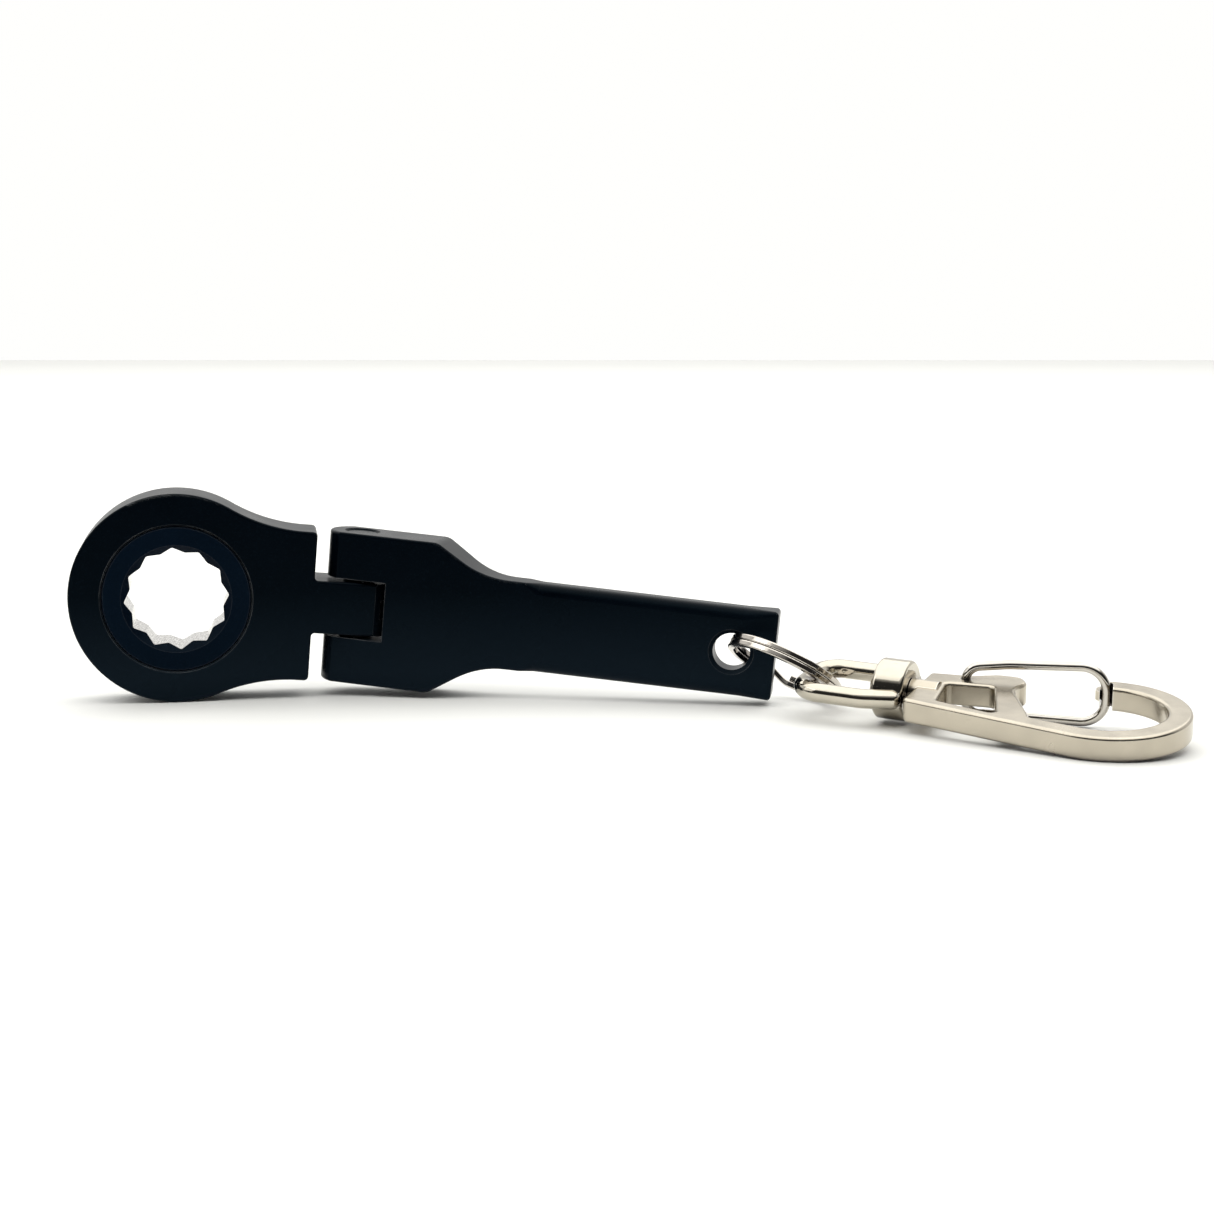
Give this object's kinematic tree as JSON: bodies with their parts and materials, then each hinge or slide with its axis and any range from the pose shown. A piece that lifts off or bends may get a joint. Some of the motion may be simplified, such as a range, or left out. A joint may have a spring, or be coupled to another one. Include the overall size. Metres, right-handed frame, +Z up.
{
  "type": "keychain ratcheting ring wrench",
  "caption": "Pocket flex-head ratcheting ring wrench with a key ring, swivel loop and wire-gate snap hook for a key chain.",
  "frame": {"origin": "middle of the bounding box, on the surface the object lies on", "axes": "+Z up, +X from the wrench head towards the snap hook, -Y towards the viewer; the wrench stands on edge and the hook lies beside it"},
  "size_m": [0.1208, 0.04, 0.024],
  "materials": {
    "black_satin": "satin black finish with a fine grain",
    "socket_steel": "dark satin faces and bare machined bore",
    "spring_steel": "plain spring steel",
    "nickel": "bright nickel plate with light wear"
  },
  "bodies": {
    "handle": {"handle_body": "black_satin", "flex_pin": "black_satin", "detent_ball": "spring_steel", "detent_spring": "spring_steel"},
    "head": {"head_body": "black_satin", "retaining_ring": "spring_steel", "pawl_spring": "spring_steel"},
    "gear": {"ratchet_gear": "socket_steel"},
    "pawl": {"pawl": "socket_steel"},
    "ring": {"split_ring": "nickel"},
    "loop": {"swivel_loop": "nickel"},
    "hook": {"hook_body": "nickel"},
    "gate": {"wire_gate": "nickel"}
  },
  "joints": [
    {"name": "flex_hinge", "type": "hinge", "parent": "handle", "child": "head", "pos_m": [-0.02818, 0.01649, 0.0102], "axis": [0.0913, -0.0141, 0.9957], "range_deg": [-109, 71]},
    {"name": "gear_spin", "type": "hinge", "parent": "head", "child": "gear", "pos_m": [-0.04818, 0.01286, 0.01198], "axis": [0.1757, -0.984, -0.0301], "continuous": true},
    {"name": "pawl_slide", "type": "slide", "parent": "head", "child": "pawl", "axis": [0.9802, 0.1777, -0.0873], "range_m": [0, 0.00055], "stiffness_N_per_m": 400, "springref_m": -0.0005, "deforming": ["pawl_spring"]},
    {"name": "ring_swing", "type": "hinge", "parent": "handle", "child": "ring", "pos_m": [0.01487, 0.00983, 0.00616], "axis": [0.153, 0.9882, 0], "range_deg": [-60, 40]},
    {"name": "loop_swing", "type": "hinge", "parent": "ring", "child": "loop", "pos_m": [0.02318, 0.00379, 0.00404], "axis": [0.4689, 0.8715, 0.1436], "range_deg": [-25, 25]},
    {"name": "hook_swivel", "type": "hinge", "parent": "loop", "child": "hook", "pos_m": [0.03166, -0.00071, 0.00368], "axis": [0.8826, -0.4687, -0.0372], "continuous": true},
    {"name": "gate_hinge", "type": "hinge", "parent": "hook", "child": "gate", "pos_m": [0.03929, -0.00085, 0.00363], "axis": [0.0349, 0.1441, -0.9889], "range_deg": [0, 22], "stiffness_Nm_per_rad": 0.02, "springref_deg": -11.46}
  ]
}
